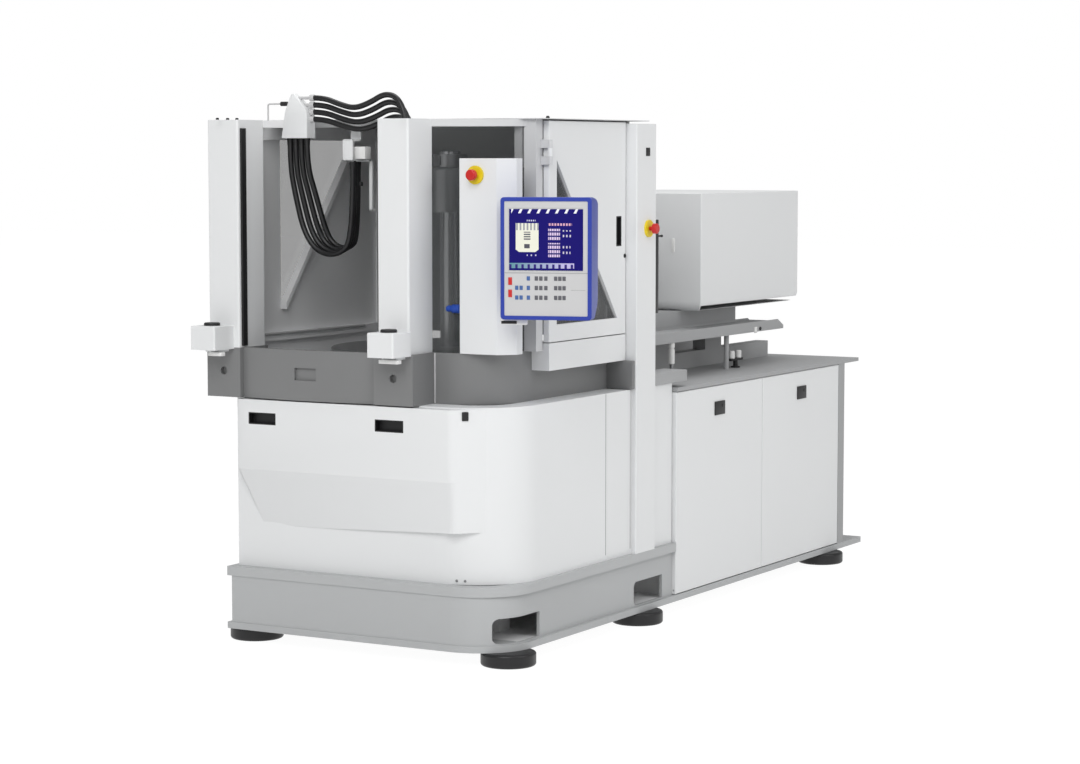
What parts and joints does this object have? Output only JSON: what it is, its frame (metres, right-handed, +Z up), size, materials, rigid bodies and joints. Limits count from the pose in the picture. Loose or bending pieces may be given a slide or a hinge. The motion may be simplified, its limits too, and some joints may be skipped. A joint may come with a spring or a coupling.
{
  "type": "insert injection moulding machine",
  "caption": "Injection moulding machine with a vertical clamp over a rotary table, a horizontal injection unit on a rear cabinet and a guarded loading opening with two-hand controls.",
  "frame": {"origin": "on the floor under the middle of the machine's box, without the hoses", "axes": "+X from the loading opening to the injection end, +Z up, -Y towards the side with the door and the control panel"},
  "size_m": [3.36, 1.5528, 2.0454],
  "materials": {
    "white_paint": "satin",
    "grey_paint": "satin",
    "plinth_paint": "satin",
    "cast_band": "painted",
    "steel": "machined",
    "bar_chrome": "ground",
    "bronze": "turned",
    "black_rubber": "matte",
    "black_plastic": "matte",
    "blue_plastic": "satin",
    "light_plastic": "satin",
    "yellow_plastic": "satin",
    "red_plastic": "gloss",
    "clear_sheet": "clear"
  },
  "bodies": {
    "machine": {"plinth_frame": "plinth_paint", "machine_feet": "black_rubber", "base_housing": "white_paint", "front_apron": "white_paint", "apron_handles": "black_plastic", "bed_skirt": "cast_band", "bed_plate": "steel", "tie_bushes": "bronze", "table_drive": "steel", "clamp_cylinder": "steel", "ejector_cylinder": "steel", "guard_columns": "white_paint", "light_curtains": "black_plastic", "two_hand_boxes": "white_paint", "guard_frame": "grey_paint", "guard_windows": "clear_sheet", "rear_wall": "grey_paint", "roof_plate": "white_paint", "tall_column": "white_paint", "door_sill": "grey_paint", "control_column": "white_paint", "stop_plates": "yellow_plastic", "panel_arm": "steel", "cabinet_housing": "grey_paint", "cabinet_top": "grey_paint", "drip_tray": "grey_paint", "hose_fittings": "white_paint", "loop_hose_1": "black_rubber", "loop_hose_2": "black_rubber", "loop_hose_3": "black_rubber", "loop_hose_4": "black_rubber", "upper_hose_1": "black_rubber", "upper_hose_2": "black_rubber", "upper_hose_3": "black_rubber", "upper_hose_4": "black_rubber"},
    "table": {"rotary_table": "steel"},
    "clamp": {"clamp_platen": "steel", "tie_bars": "bar_chrome", "tie_bar_nuts": "steel", "clamp_yoke": "steel", "clamp_ram": "bar_chrome"},
    "ejector": {"ejector_rod": "bar_chrome"},
    "near_button": {"two_hand_button_near": "black_plastic"},
    "far_button": {"two_hand_button_far": "black_plastic"},
    "door": {"operator_door": "white_paint", "door_window": "clear_sheet", "door_grip": "black_plastic"},
    "panel": {"panel_housing": "blue_plastic", "panel_face": "light_plastic"},
    "front_stop": {"stop_button_front": "red_plastic"},
    "side_stop": {"stop_button_side": "red_plastic"},
    "front_cover": {"cabinet_cover_front": "white_paint"},
    "rear_cover": {"cabinet_cover_rear": "white_paint"},
    "front_latch": {"cover_latch_front": "black_plastic"},
    "rear_latch": {"cover_latch_rear": "black_plastic"},
    "injection_unit": {"injection_carriage": "grey_paint", "injection_cover": "white_paint", "injection_barrel": "steel"},
    "thrust": {"thrust_block": "steel"},
    "screw": {"plasticising_screw": "steel"}
  },
  "joints": [
    {"name": "clamp_slide", "type": "slide", "parent": "machine", "child": "clamp", "axis": [0, 0, -1], "range_m": [0, 0.22]},
    {"name": "table_turn", "type": "hinge", "parent": "machine", "child": "table", "pos_m": [-0.92, 0.10538, 0.928], "axis": [0, 0, 1], "range_deg": [0, 180]},
    {"name": "ejector_slide", "type": "slide", "parent": "machine", "child": "ejector", "axis": [0, 0, 1], "range_m": [0, 0.055]},
    {"name": "near_button_press", "type": "slide", "parent": "machine", "child": "near_button", "axis": [0, 0, -1], "range_m": [0, 0.006], "stiffness_N_per_m": 1500, "springref_m": -0.002},
    {"name": "far_button_press", "type": "slide", "parent": "machine", "child": "far_button", "axis": [0, 0, -1], "range_m": [0, 0.006], "stiffness_N_per_m": 1500, "springref_m": -0.002},
    {"name": "door_swing", "type": "hinge", "parent": "machine", "child": "door", "pos_m": [-1.15, -0.45862, 1.5], "axis": [0, 0, -1], "range_deg": [0, 90]},
    {"name": "panel_swivel", "type": "hinge", "parent": "machine", "child": "panel", "pos_m": [-1.31486, -0.52086, 1.4], "axis": [0, 0, 1], "range_deg": [0, 35]},
    {"name": "front_stop_press", "type": "slide", "parent": "machine", "child": "front_stop", "axis": [1, 0, 0], "range_m": [0, 0.004], "stiffness_N_per_m": 1500, "springref_m": -0.002},
    {"name": "side_stop_press", "type": "slide", "parent": "machine", "child": "side_stop", "axis": [0, 1, 0], "range_m": [0, 0.004], "stiffness_N_per_m": 1500, "springref_m": -0.002},
    {"name": "front_cover_tilt", "type": "hinge", "parent": "machine", "child": "front_cover", "pos_m": [0.20525, -0.48262, 0.092], "axis": [1, 0, 0], "range_deg": [0, 12]},
    {"name": "rear_cover_tilt", "type": "hinge", "parent": "machine", "child": "rear_cover", "pos_m": [1.01175, -0.48262, 0.092], "axis": [1, 0, 0], "range_deg": [0, 12]},
    {"name": "front_latch_turn", "type": "hinge", "parent": "front_cover", "child": "front_latch", "pos_m": [0.192, -0.49462, 0.79], "axis": [0, 1, 0], "range_deg": [0, 90]},
    {"name": "rear_latch_turn", "type": "hinge", "parent": "rear_cover", "child": "rear_latch", "pos_m": [1.0055, -0.49462, 0.79], "axis": [0, 1, 0], "range_deg": [0, 90]},
    {"name": "unit_slide", "type": "slide", "parent": "machine", "child": "injection_unit", "axis": [-1, 0, 0], "range_m": [0, 0.15]},
    {"name": "thrust_slide", "type": "slide", "parent": "injection_unit", "child": "thrust", "axis": [1, 0, 0], "range_m": [0, 0.14]},
    {"name": "screw_turn", "type": "hinge", "parent": "thrust", "child": "screw", "pos_m": [0.44, 0.10538, 1.29], "axis": [1, 0, 0], "continuous": true}
  ]
}
